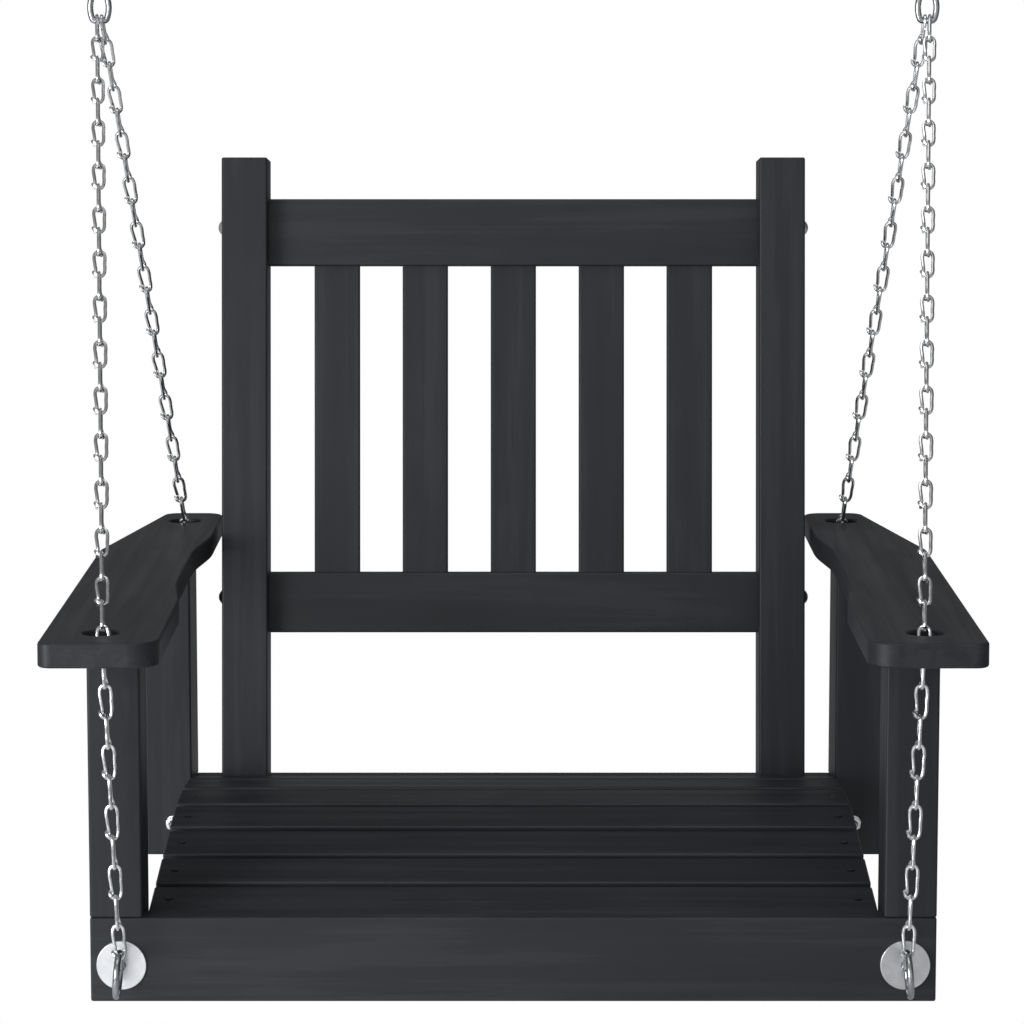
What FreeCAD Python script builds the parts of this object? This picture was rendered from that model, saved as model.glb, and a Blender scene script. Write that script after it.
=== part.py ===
import FreeCAD, Part
import math
import os

# Porch swing for one person: painted timber seat, four link chains and two ceiling screw eyes.
# It is drawn from the underside of its seat up, with x to the right, d the depth behind the front
# rail and z the height. save() then moves every shape so that the origin is midway between the
# two ceiling screws, on the face that they are screwed into, with -Y to the front.

V = FreeCAD.Vector

# ---- driving dimensions, millimetres and degrees ----
seatWidth = 580.0        # length of the front and rear rails
seatDepth = 488.0        # front face of the front rail to rear face of the rear rail
timber = 20.0            # thickness of rails
railHeight = 59.0        # front rail and side rails' datum
rearRailHeight = 51.5    # kept below the last slat, so it stays out of sight
postWidth = 36.0         # across the swing, all upright posts
frontPostDepth = 50.0
rearPostDepth = 68.0
postGap = 4.0            # between an arm post and the side rail
ease = 1.6               # rounding of timber edges

slatCount = 7
slatSpace = 8.5          # open between two slats
slatThick = 14.0
slatOverhang = 1.8       # slats past the side rails
seatRise = 0.105         # slope of the front part of the seat
seatFrontHeight = 58.2   # top of the first slat at its front edge
seatCrestDepth = 0.3566 * seatDepth   # length of the straight slope
seatRadius = 1.4344 * seatDepth       # the seat then falls away on this radius

backLean = 6.9
backPostDepth = 48.0
backPostLength = 545.0
backPostHead = 32.0      # post above the top rail
backFrontDepth = seatDepth - 70.0     # front face of a back post at the height below
backFrontHeight = 60.0
backRailSetback = 20.0   # rails behind the front face of the posts
backTopRail = (407.0, 460.0)       # low and high edge, along the posts, from backFrontHeight
backBottomRail = (116.0, 163.5)
backSlatCount = 5
backSlatPitch = 70.0
backSlatWidth = 36.0
backSlatThick = 12.0
tenon = 10.0
tenonGap = 0.2

crossRailDepth = seatDepth - 190.0
crossRailHeight = 40.0
crossRailDrop = 1.5      # below the slats
crossScrewHeights = (32.0, 50.0)

armHeight = 261.0        # top of the arm at the front chain hole
armThick = 17.0
armSlope = 0.7
armFront = 62.0          # arm ahead of the front rail
armRear = 59.0           # arm behind the rear rail
armOutside = 26.5        # arm past the outer face of the posts
armInside = 18.0         # arm past the inner face of the posts
armScallop = 8.0         # shallow recess of the inner edge
armScallopStart = frontPostDepth + 65.0
armScallopEnd = seatDepth - 73.0
armScallopRun = 70.0     # along which it deepens
armScallopRound = 280.0
armTaperStart = seatDepth - 138.0
armTaperRound = 60.0
armCorners = (9.0, 12.0, 14.0, 20.0)  # rounding: front outer, rear outer, rear inner, front inner
armEase = 1.8
armRearCornerIn = 8.0    # outer rear corner of the arm inside the post's outer face
armHoleRadius = 12.75
frontHoleInset = 12.6    # hole centres in from the outer face of the posts
rearHoleInset = 26.4
frontHoleAhead = 19.0    # hole centres ahead of, and behind, the rails
rearHoleBehind = 15.0

wire = 2.5               # chain wire diameter
linkPitch = 19.3
linkInnerRadius = 2.45
linkGap = 0.15           # between two links that hang in each other
rimGap = 0.5             # chain to the rim of its arm hole
bendAboveArm = 1.5

eyeWire = 4.6
eyeRingOuter = 34.0
eyeRingStandoff = 25.0   # ring centre ahead of the rail
eyeRingTilt = 4.0
eyeBoltHeight = 26.0
eyeBoltInset = 21.4      # in from the outer face of the posts
boltRadius = 3.0
boltHoleRadius = 3.3
eyeWasherRadius = 17.15
eyeWasherThick = 2.0
innerWasherRadius = 6.0
innerWasherThick = 1.6
nutAcross = 10.0
nutHeight = 5.0
boltBeyondNut = 3.0

hangDepth = 304.1        # ceiling eyes, behind the front rail: over the swing's centre of gravity
pivotHeight = 661.0      # centre of the wire that the chains hang on
ceilingEyeHalfSpan = 306.6
chainSideStep = 1.8      # each chain to one side of the eye's middle
ceilingEyeHeight = 24.0  # outside, over the oval
eyeFlat = 3.1            # half of the straight bottom of the oval
eyeCornerRadius = 2.5
eyeCornerTurn = 70.0
neckLength = 5.0         # oval to ceiling, collar included
collarRadius = 7.0
collarThick = 1.6
neckRadius = 3.4
collarEase = 0.5
screwRadius = 3.0
screwLength = 42.0
screwTip = 7.0
screwPoint = 0.45

domeRadius = 4.9
domeHeight = 3.2
backBoltLength = 68.0
backHeadRadius = 6.5
backHeadHeight = 4.6
backBoltAbove = 4.0      # above the middle of its rail
seatBoltPlaces = ((22.0, 24.0), (22.0, 46.0))   # behind the front of the post, and height
dowelRadius = 4.0
dowelInArm = 11.0
dowelInPost = 18.0
dowelInRail = 11.0
dowelInSideRail = 20.0
railDowelHeights = (14.0, 31.0)
slatScrewHead = 3.4
slatScrewShank = 1.7
slatScrewLength = 32.0
crossScrewLength = 55.0

screwFit = 0.05          # around wood screws
boltFit = 0.1
washerFit = 0.2
washerEase = 0.5

# ---- derived places ----
slatPitch = (backFrontDepth - 0.5 - timber + slatSpace) / slatCount
slatWidth = slatPitch - slatSpace
postOuter = seatWidth / 2
postInner = postOuter - postWidth
sideOuter = postInner - postGap
sideInner = sideOuter - timber
backOuter = sideInner
backInner = backOuter - postWidth
rearRailFront = seatDepth - timber
rearPostFront = seatDepth - rearPostDepth
slopeTan = math.tan(math.radians(armSlope))
leanSin = math.sin(math.radians(backLean))
leanCos = math.cos(math.radians(backLean))
frontHole = (postOuter - frontHoleInset, -frontHoleAhead)
rearHole = (postOuter - rearHoleInset, seatDepth + rearHoleBehind)
eyeX = postOuter - eyeBoltInset
eyeRadius = eyeWire / 2
ringRadius = eyeRingOuter / 2 - eyeRadius
ceilingHeight = pivotHeight - eyeRadius + ceilingEyeHeight + neckLength
sides = (("left", -1), ("right", 1))


# ---- shapes ----
def mirrored(shape, side):
    """The shape itself on the right side, its mirror image on the left."""
    return shape if side > 0 else shape.mirror(V(0, 0, 0), V(1, 0, 0))


def eased(shape, radius=ease, keep=None):
    """Round every edge, or those that keep() chooses."""
    edges = [e for e in shape.Edges if keep is None or keep(e)]
    return shape.makeFillet(radius, edges)


def block(x0, x1, d0, d1, z0, z1):
    return Part.makeBox(x1 - x0, d1 - d0, z1 - z0, V(x0, d0, z0))


def sidePrism(points, x0, x1):
    """A flat outline of (d, z) points, made thick from x0 to x1."""
    corners = [V(x0, d, z) for d, z in points]
    face = Part.Face(Part.makePolygon(corners + corners[:1]))
    return face.extrude(V(x1 - x0, 0, 0))


def rod(start, direction, radius, length):
    return Part.makeCylinder(radius, length, start, direction)


def roundedOutline(corners, z):
    """A closed wire through (x, d, radius) corners, each rounded by its own arc."""
    starts, ends, middles = [], [], []
    count = len(corners)
    for i, (x, d, radius) in enumerate(corners):
        here = V(x, d, z)
        before = V(corners[i - 1][0], corners[i - 1][1], z) - here
        after = V(corners[(i + 1) % count][0], corners[(i + 1) % count][1], z) - here
        before.normalize()
        after.normalize()
        half = before.getAngle(after) / 2
        reach = radius / math.tan(half)
        bisector = (before + after).normalize()
        centre = here + bisector * (radius / math.sin(half))
        starts.append(here + before * reach)
        ends.append(here + after * reach)
        middles.append(centre - bisector * radius)
    edges = []
    for i in range(count):
        edges.append(Part.Arc(starts[i], middles[i], ends[i]).toShape())
        edges.append(Part.LineSegment(ends[i], starts[(i + 1) % count]).toShape())
    return Part.Wire(edges)


def hexPrism(across, height, start, direction):
    """A six-sided nut blank whose axis runs from start along direction."""
    corner = across / math.sqrt(3)
    points = [V(corner * math.cos(math.radians(60 * i)), corner * math.sin(math.radians(60 * i)), 0)
              for i in range(7)]
    nut = Part.Face(Part.makePolygon(points)).extrude(V(0, 0, height))
    nut.Placement = FreeCAD.Placement(start, FreeCAD.Rotation(V(0, 0, 1), direction))
    return nut


def dome(start, direction, radius, height):
    """A low round head: the cap of a sphere, flat side on start."""
    ball = (radius * radius + height * height) / (2 * height)
    cap = Part.makeSphere(ball, V(0, 0, height - ball))
    cap = cap.common(Part.makeBox(2 * ball, 2 * ball, height, V(-ball, -ball, 0)))
    cap.Placement = FreeCAD.Placement(start, FreeCAD.Rotation(V(0, 0, 1), direction))
    return cap


def save(name, shapes):
    """Move the solids to the row frame and write them as one node."""
    solids = []
    for shape in shapes if isinstance(shapes, list) else [shapes]:
        shape = shape.copy()
        shape.translate(V(0, -hangDepth, -ceilingHeight))
        solids += shape.Solids
    result = Part.makeCompound(solids) if len(solids) > 1 else solids[0]
    bad = [i for i, solid in enumerate(solids) if not solid.isValid() or solid.Volume <= 0]
    if bad:
        raise RuntimeError(name + " has broken solids: " + str(bad))
    result.exportStep("parts/" + name + ".step")
    built[name] = (len(solids), result.Volume)


# ---- seat ----
def seatTop(d):
    """Height and slope angle of the seat's top surface at depth d."""
    crest = timber + seatCrestDepth
    angle = math.atan(seatRise)
    if d <= crest:
        return seatFrontHeight + seatRise * (d - timber), angle
    centreD = crest + seatRadius * math.sin(angle)
    centreZ = seatFrontHeight + seatRise * seatCrestDepth - seatRadius * math.cos(angle)
    return (centreZ + math.sqrt(seatRadius ** 2 - (d - centreD) ** 2),
            math.asin((centreD - d) / seatRadius))


def slatMiddle(index):
    """Top middle of a seat slat, and the slope there."""
    d = timber + slatPitch * index + slatWidth / 2
    z, angle = seatTop(d)
    return d, z, angle


def seatSlat(index):
    d, z, angle = slatMiddle(index)
    half = sideOuter + slatOverhang
    slat = eased(block(-half, half, -slatWidth / 2, slatWidth / 2, -slatThick, 0))
    for x in (-1, 1):
        slat = slat.cut(slatScrew(x * (sideInner + timber / 2), screwFit))
    turn = FreeCAD.Rotation(V(1, 0, 0), math.degrees(angle))
    slat.Placement = FreeCAD.Placement(V(0, d, z), turn)
    return slat


def slatScrew(x, gap=0.0, length=slatScrewLength):
    """A countersunk screw, its head level with z = 0; gap makes it the cutter for its hole."""
    depth = slatScrewHead - slatScrewShank
    head = Part.makeCone(slatScrewShank + gap, slatScrewHead + gap, depth, V(x, 0, -depth))
    shank = Part.makeCylinder(slatScrewShank + gap, length, V(x, 0, -length))
    return head.fuse(shank).removeSplitter()


def placedSlatScrews(gap=0.0):
    screws = []
    for index in range(slatCount):
        d, z, angle = slatMiddle(index)
        for x in (-1, 1):
            screw = slatScrew(x * (sideInner + timber / 2), gap)
            turn = FreeCAD.Rotation(V(1, 0, 0), math.degrees(angle))
            screw.Placement = FreeCAD.Placement(V(0, d, z), turn)
            screws.append(screw)
    return screws


def sideRail(side):
    """The slats lie on its top edge: a straight rise, then a long fall on a slightly smaller arc."""
    angle = math.atan(seatRise)
    crest = timber + seatCrestDepth
    centre = V(sideInner, crest + seatRadius * math.sin(angle),
               seatFrontHeight + seatRise * seatCrestDepth - seatRadius * math.cos(angle))
    inner = seatRadius - slatThick

    def under(turn):
        return centre + V(0, -math.sin(turn) * inner, math.cos(turn) * inner)

    start = under(angle)
    frontZ = start.z - seatRise * (start.y - timber)
    rearTurn = -math.asin((rearRailFront - centre.y) / inner)
    rear = under(rearTurn)
    front = V(sideInner, timber, frontZ)
    frontFoot = V(sideInner, timber, 0)
    rearFoot = V(sideInner, rearRailFront, 0)
    edges = [Part.LineSegment(frontFoot, front).toShape(), Part.LineSegment(front, start).toShape(),
             Part.Arc(start, under((angle + rearTurn) / 2), rear).toShape(),
             Part.LineSegment(rear, rearFoot).toShape(), Part.LineSegment(rearFoot, frontFoot).toShape()]
    rail = Part.Face(Part.Wire(edges)).extrude(V(timber, 0, 0))
    rail = eased(rail, keep=lambda e: e.BoundBox.ZMax < 0.01 and e.BoundBox.YLength > timber)
    for cutter in placedSlatScrews(screwFit) + railDowels() + seatBolts(boltHoleRadius) + crossScrews(screwFit):
        rail = rail.cut(cutter)
    return mirrored(rail, side)


def crossRail():
    d0 = crossRailDepth - timber / 2
    top = seatTop(crossRailDepth + timber / 2)[0] - slatThick - crossRailDrop
    rail = eased(block(-sideInner, sideInner, d0, d0 + timber, top - crossRailHeight, top),
                 keep=lambda e: e.BoundBox.XLength > timber)
    for cutter in crossScrews(screwFit):
        rail = rail.cut(cutter).cut(mirrored(cutter, -1))
    return rail


def endRail(d0, height):
    """The front rail or the rear rail, with its two eye bolt holes and four dowel holes."""
    rail = eased(block(-postOuter, postOuter, d0, d0 + timber, 0, height))
    cutters = railDowels() + [rod(V(eyeX, d0 - 1, eyeBoltHeight), V(0, 1, 0), boltHoleRadius, timber + 2)]
    for cutter in cutters:
        rail = rail.cut(cutter).cut(mirrored(cutter, -1))
    return rail


def railDowels():
    """Right-hand dowels that hold the side rail's ends to the front and rear rails."""
    dowels = []
    for z in railDowelHeights:
        x = sideInner + timber / 2
        dowels.append(rod(V(x, timber - dowelInRail, z), V(0, 1, 0), dowelRadius,
                          dowelInRail + dowelInSideRail))
        dowels.append(rod(V(x, rearRailFront - dowelInSideRail, z), V(0, 1, 0), dowelRadius,
                          dowelInRail + dowelInSideRail))
    return dowels


# ---- arms and their posts ----
def armUnder(d):
    """Height of the arm's underside at depth d."""
    return armHeight - armThick / math.cos(math.radians(armSlope)) - (d + frontHoleAhead) * slopeTan


def armPost(d0, d1, front, side):
    """A post under the arm, cut away at its foot where the rail passes in front or behind."""
    inner = d0 + timber if front else d1 - timber
    notch = railHeight if front else rearRailHeight
    top = [(d0, armUnder(d0)), (d1, armUnder(d1))]
    if front:
        outline = [(d0, notch)] + top + [(d1, 0), (inner, 0), (inner, notch)]
    else:
        outline = [(d0, 0)] + top + [(d1, notch), (inner, notch), (inner, 0)]

    def outside(edge):
        """Not the edge in the corner of the notch."""
        box = edge.BoundBox
        return not (abs(box.YMin - inner) < 0.01 and abs(box.YMax - inner) < 0.01
                    and abs(box.ZMin - notch) < 0.01 and abs(box.ZMax - notch) < 0.01)

    post = eased(sidePrism(outline, postInner, postOuter), keep=outside)
    post = post.cut(rod(V(eyeX, d0 - 1, eyeBoltHeight), V(0, 1, 0), boltHoleRadius, d1 - d0 + 2))
    for dowel in armDowels():
        post = post.cut(dowel)
    return mirrored(post, side)


def armDowels():
    """Right-hand dowels from the posts up into the arm."""
    dowels = []
    for d in (frontPostDepth / 2, rearPostFront + rearPostDepth / 2):
        foot = V(postInner + postWidth / 2, d, armUnder(d) - dowelInPost)
        dowels.append(rod(foot, V(0, 0, 1), dowelRadius, dowelInPost + dowelInArm))
    return dowels


def arm(side):
    """A flat board, drawn level and then tipped back by the arm's slope."""
    outer = postOuter + armOutside
    inner = postInner - armInside
    rear = seatDepth + armRear
    frontOuter, rearOuter, rearInner, frontInner = armCorners
    corners = [(outer, -armFront, frontOuter), (outer, armTaperStart, armTaperRound),
               (postOuter - armRearCornerIn, rear, rearOuter), (inner, rear, rearInner),
               (inner, armScallopEnd, armScallopRound),
               (inner + armScallop, armScallopEnd - armScallopRun, armScallopRound),
               (inner + armScallop, armScallopStart + armScallopRun, armScallopRound),
               (inner, armScallopStart, armScallopRound), (inner, -armFront, frontInner)]
    board = Part.Face(roundedOutline(corners, -armThick)).extrude(V(0, 0, armThick))
    for x, d in (frontHole, rearHole):
        board = board.cut(Part.makeCylinder(armHoleRadius, armThick, V(x, d, -armThick)))
    board = eased(board, armEase, keep=lambda e: e.BoundBox.ZLength < 0.01)
    board.translate(V(0, frontHoleAhead, 0))
    board.rotate(V(0, 0, 0), V(1, 0, 0), -armSlope)
    board.translate(V(0, -frontHoleAhead, armHeight))
    for dowel in armDowels():
        board = board.cut(dowel)
    return mirrored(board, side)


# ---- back ----
def leaned(shape):
    """From the back's own frame (y behind the posts' front face, z along them) to the seat."""
    shape = shape.copy()
    shape.rotate(V(0, 0, 0), V(1, 0, 0), -backLean)
    shape.translate(V(0, backFrontDepth, backFrontHeight))
    return shape


def backRails():
    return {"back_top_rail": backTopRail, "back_bottom_rail": backBottomRail}


def backBolt(z, gap=0.0):
    """A dome-headed bolt through the right back post into the end of a rail."""
    y = backRailSetback + timber / 2
    return rod(V(backOuter, y, z), V(-1, 0, 0), boltRadius + gap, backBoltLength + gap)


def backPost(side):
    foot = backPostLength - backTopRail[1] - backPostHead
    post = eased(block(backInner, backOuter, 0, backPostDepth, -foot, backPostLength - foot))
    for low, high in backRails().values():
        post = post.cut(backBolt((low + high) / 2 + backBoltAbove, boltFit))
    post = leaned(post)
    for cutter in seatBolts(boltHoleRadius):
        post = post.cut(cutter)
    return mirrored(post, side)


def backSlatX(index):
    return (index - (backSlatCount - 1) / 2) * backSlatPitch


def backSlat(index, gap=0.0):
    """A back slat with its ends in the rails; gap makes it the cutter for the mortises."""
    x = backSlatX(index)
    middle = backRailSetback + timber / 2
    slat = block(x - backSlatWidth / 2 - gap, x + backSlatWidth / 2 + gap,
                 middle - backSlatThick / 2 - gap, middle + backSlatThick / 2 + gap,
                 backBottomRail[1] - tenon - gap, backTopRail[0] + tenon + gap)
    return slat if gap else eased(slat, keep=lambda e: e.BoundBox.ZLength > backSlatPitch)


def backRail(name):
    low, high = backRails()[name]
    rail = eased(block(-backInner, backInner, backRailSetback, backRailSetback + timber, low, high),
                 keep=lambda e: e.BoundBox.XLength > timber * 3)
    for index in range(backSlatCount):
        rail = rail.cut(backSlat(index, tenonGap))
    bolt = backBolt((low + high) / 2 + backBoltAbove, boltFit)
    return leaned(rail.cut(bolt).cut(mirrored(bolt, -1)))


def backBolts():
    bolts = []
    for low, high in backRails().values():
        z = (low + high) / 2 + backBoltAbove
        head = dome(V(backOuter, backRailSetback + timber / 2, z), V(1, 0, 0), backHeadRadius, backHeadHeight)
        bolt = leaned(backBolt(z).fuse(head).removeSplitter())
        bolts += [bolt, mirrored(bolt, -1)]
    return bolts


def seatBolts(radius=boltRadius):
    """Right-hand bolts that hold the foot of a back post to the side rail, without their heads."""
    length = timber + postWidth + nutHeight + boltBeyondNut
    return [rod(V(sideOuter, rearPostFront + d, z), V(-1, 0, 0), radius, length)
            for d, z in seatBoltPlaces]


def headedSeatBolts():
    bolts = []
    for shank, (d, z) in zip(seatBolts(), seatBoltPlaces):
        head = dome(V(sideOuter, rearPostFront + d, z), V(1, 0, 0), domeRadius, domeHeight)
        bolt = shank.fuse(head).removeSplitter()
        bolts += [bolt, mirrored(bolt, -1)]
    return bolts


def boltNut(start, direction):
    nut = hexPrism(nutAcross, nutHeight, start, direction)
    return nut.cut(rod(start - direction, direction, boltRadius, nutHeight + 2))


def seatNuts():
    nuts = []
    for d, z in seatBoltPlaces:
        nut = boltNut(V(backInner, rearPostFront + d, z), V(-1, 0, 0))
        nuts += [nut, mirrored(nut, -1)]
    return nuts


def crossScrews(gap=0.0):
    """Right-hand countersunk screws through the side rail into the end of the cross rail."""
    screws = []
    for z in crossScrewHeights:
        screw = slatScrew(0, gap, crossScrewLength)
        screw.rotate(V(0, 0, 0), V(0, 1, 0), 90)
        screw.translate(V(sideOuter, crossRailDepth, z))
        screws.append(screw)
    return screws


# ---- eye bolts ----
def eyeBolt(front, side):
    """Ring and threaded shank in one piece; the ring's top leans in towards the chain."""
    clamped = frontPostDepth if front else rearPostDepth
    reach = eyeRingStandoff - ringRadius
    length = reach + clamped + innerWasherThick + nutHeight + boltBeyondNut
    ring = Part.makeTorus(ringRadius, eyeRadius, V(0, -eyeRingStandoff, 0), V(1, 0, 0))
    shank = rod(V(0, -reach, 0), V(0, 1, 0), boltRadius, length)
    bolt = ring.fuse(shank).removeSplitter()
    bolt.rotate(V(0, 0, 0), V(0, 1, 0), -eyeRingTilt)
    return placedEye(bolt, front, side)


def placedEye(shape, front, side):
    """Put a right-hand shape drawn at the rail's face on the front or the rear rail."""
    if not front:
        shape = shape.mirror(V(0, 0, 0), V(0, 1, 0))
    shape = shape.copy()
    shape.translate(V(eyeX, 0 if front else seatDepth, eyeBoltHeight))
    return mirrored(shape, side)


def eyeBoltWashers(front, side):
    """The wide washer against the rail, the small one and the nut behind the post."""
    clamped = frontPostDepth if front else rearPostDepth
    hole = rod(V(0, -eyeWasherThick - 1, 0), V(0, 1, 0), boltRadius + washerFit,
               eyeWasherThick + clamped + innerWasherThick + 2)
    wide = rod(V(0, -eyeWasherThick, 0), V(0, 1, 0), eyeWasherRadius, eyeWasherThick)
    wide = eased(wide, washerEase, keep=lambda e: abs(e.BoundBox.YMin + eyeWasherThick) < 0.01
                 and e.BoundBox.ZLength > 1 and e.BoundBox.YLength < 0.01)
    small = rod(V(0, clamped, 0), V(0, 1, 0), innerWasherRadius, innerWasherThick)
    nut = boltNut(V(0, clamped + innerWasherThick, 0), V(0, 1, 0))
    return [placedEye(s, front, side) for s in (wide.cut(hole), small.cut(hole), nut)]


# ---- ceiling eyes ----
def ceilingEye(side):
    """An oval eye with a straight bottom, a neck, a collar and a screw that points up."""
    turn = math.radians(eyeCornerTurn)
    height = ceilingEyeHeight - eyeWire
    cornerX = eyeFlat + eyeCornerRadius * math.sin(turn)
    cornerZ = eyeCornerRadius * (1 - math.cos(turn))
    sideRadius = (height / 2 - cornerZ) / math.cos(turn)
    bulgeX = cornerX + sideRadius * (1 - math.sin(turn))
    middle = height / 2
    half = math.radians(eyeCornerTurn / 2)
    cornerMidX = eyeFlat + eyeCornerRadius * math.sin(half)
    cornerMidZ = eyeCornerRadius * (1 - math.cos(half))

    def p(x, z):
        return V(x, 0, z)

    def quarter(sx, low):
        """One bottom or top corner of the oval, from the flat to the bulging side."""
        flip = (lambda z: z) if low else (lambda z: height - z)
        return Part.Arc(p(sx * eyeFlat, flip(0)), p(sx * cornerMidX, flip(cornerMidZ)),
                        p(sx * cornerX, flip(cornerZ))).toShape()

    edges = [Part.LineSegment(p(-eyeFlat, 0), p(eyeFlat, 0)).toShape(), quarter(1, True),
             Part.Arc(p(cornerX, cornerZ), p(bulgeX, middle), p(cornerX, height - cornerZ)).toShape(),
             quarter(1, False), Part.LineSegment(p(eyeFlat, height), p(-eyeFlat, height)).toShape(),
             quarter(-1, False),
             Part.Arc(p(-cornerX, height - cornerZ), p(-bulgeX, middle), p(-cornerX, cornerZ)).toShape(),
             quarter(-1, True)]
    path = Part.Wire(Part.__sortEdges__(edges))
    section = Part.Wire(Part.makeCircle(eyeRadius, p(0, 0), V(1, 0, 0)))
    loop = path.makePipeShell([section], True, False)
    ceiling = ceilingHeight - pivotHeight
    neck = rod(p(0, height), V(0, 0, 1), neckRadius, ceiling - height)
    collar = rod(p(0, ceiling - collarThick), V(0, 0, 1), collarRadius, collarThick)
    collar = eased(collar, collarEase,
                   keep=lambda e: e.BoundBox.ZMax < ceiling - collarEase and e.BoundBox.ZLength < 0.01)
    screw = rod(p(0, ceiling), V(0, 0, 1), screwRadius, screwLength - screwTip)
    tip = Part.makeCone(screwRadius, screwPoint, screwTip, p(0, ceiling + screwLength - screwTip))
    eye = loop.fuse([neck, collar, screw, tip]).removeSplitter()
    eye.translate(V(ceilingEyeHalfSpan, hangDepth, pivotHeight))
    return mirrored(eye, side)


# ---- chains ----
def link(pitch):
    """A closed link of round wire, lying in the XZ plane about its middle."""
    inner = pitch + linkGap
    reach = inner / 2 - linkInnerRadius
    centreLine = linkInnerRadius + wire / 2
    parts = []
    for end in (-1, 1):
        bend = Part.makeTorus(centreLine, wire / 2, V(0, 0, 0), V(0, 1, 0), 0, 360, 180)
        bend.rotate(V(0, 0, 0), V(0, 1, 0), -90 * end)
        bend.translate(V(0, 0, end * reach))
        parts.append(bend)
        parts.append(rod(V(end * centreLine, 0, -reach), V(0, 0, 1), wire / 2, 2 * reach))
    return parts[0].fuse(parts[1:]).removeSplitter()


def turned(shape, middle, along, normal):
    """The link with its length along one vector and its plane square to another."""
    x = along.cross(normal) * -1
    x.normalize()
    matrix = FreeCAD.Matrix(x.x, normal.x, along.x, middle.x, x.y, normal.y, along.y, middle.y,
                            x.z, normal.z, along.z, middle.z, 0, 0, 0, 1)
    moved = shape.copy()
    moved.Placement = FreeCAD.Placement(matrix)
    return moved


def run(start, end, firstIndex, count):
    """Links from start to end, each turned a quarter from the one before."""
    along = (end - start) * (1.0 / count)
    pitch = along.Length
    along.normalize()
    across = V(1, 0, 0) - along * along.x
    across.normalize()
    square = along.cross(across)
    shape = link(pitch)
    links = []
    for i in range(count):
        normal = across if (firstIndex + i) % 2 == 0 else square
        links.append(turned(shape, start + along * (pitch * (i + 0.5)), along, normal))
    return links


def chain(front, side):
    """From the ceiling eye down through the arm's hole, where it bends on the rim, to the eye bolt."""
    hole = frontHole if front else rearHole
    out = 1 if front else -1
    reach = linkInnerRadius - linkGap / 2
    half = linkInnerRadius + wire
    eye = V(ceilingEyeHalfSpan + out * chainSideStep, hangDepth, pivotHeight)
    rim = hole[1] + out * armHoleRadius
    bendD = rim - out * (half + rimGap)
    bend = V(hole[0], bendD, armUnder(hole[1]) + armThick + bendAboveArm)
    tilt = math.radians(eyeRingTilt)
    standoff = -eyeRingStandoff if front else seatDepth + eyeRingStandoff
    ring = V(eyeX - ringRadius * math.sin(tilt), standoff, eyeBoltHeight + ringRadius * math.cos(tilt))
    upper = (bend - eye).normalize()
    start = eye - upper * reach
    count = round((bend - start).Length / linkPitch)
    lower = (ring - bend).normalize()
    middle = (upper + lower).normalize()
    elbow = bend + middle * linkPitch
    lower = (ring - elbow).normalize()
    end = ring + lower * reach
    odd = count % 2 == 0      # the last link must hang square to the ring
    lowerCount = 2 * round(((end - elbow).Length / linkPitch - odd) / 2) + odd
    links = run(start, bend, 0, count) + run(bend, elbow, count, 1)
    links += run(elbow, end, count + 1, lowerCount)
    return [mirrored(s, side) for s in links]


# ---- build ----
def main():
    save("front_rail", endRail(0, railHeight))
    save("rear_rail", endRail(rearRailFront, rearRailHeight))
    save("cross_rail", crossRail())
    for name, side in sides:
        save("side_rail_" + name, sideRail(side))
        save("front_post_" + name, armPost(0, frontPostDepth, True, side))
        save("rear_post_" + name, armPost(rearPostFront, seatDepth, False, side))
        save("arm_" + name, arm(side))
        save("back_post_" + name, backPost(side))
        save("ceiling_eye_" + name, ceilingEye(side))
        for where, front in (("front", True), ("rear", False)):
            save("eye_bolt_" + where + "_" + name, eyeBolt(front, side))
            save("chain_" + where + "_" + name, chain(front, side))
    for index in range(slatCount):
        save("seat_slat_" + str(index + 1), seatSlat(index))
    for name in backRails():
        save(name, backRail(name))
    for index in range(backSlatCount):
        save("back_slat_" + str(index + 1), leaned(backSlat(index)))
    stacks = [eyeBoltWashers(front, side) for front in (True, False) for _, side in sides]
    for place, name in enumerate(("eye_washers", "inner_washers", "eye_nuts")):
        save(name, [stack[place] for stack in stacks])
    save("slat_screws", placedSlatScrews())
    save("back_bolts", backBolts())
    save("seat_bolts", headedSeatBolts())
    save("seat_bolt_nuts", seatNuts())
    save("cross_screws", [mirrored(s, side) for s in crossScrews() for _, side in sides])
    save("arm_dowels", [mirrored(d, side) for d in armDowels() for _, side in sides])
    save("rail_dowels", [mirrored(d, side) for d in railDowels() for _, side in sides])


built = {}
os.makedirs("parts", exist_ok=True)
main()
for name in built:
    print("%-22s %3d solids %10.0f mm3" % (name, *built[name]))
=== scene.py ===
import math

import bmesh
import bpy
import numpy as np
from mathutils import Euler, Matrix, Vector


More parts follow.
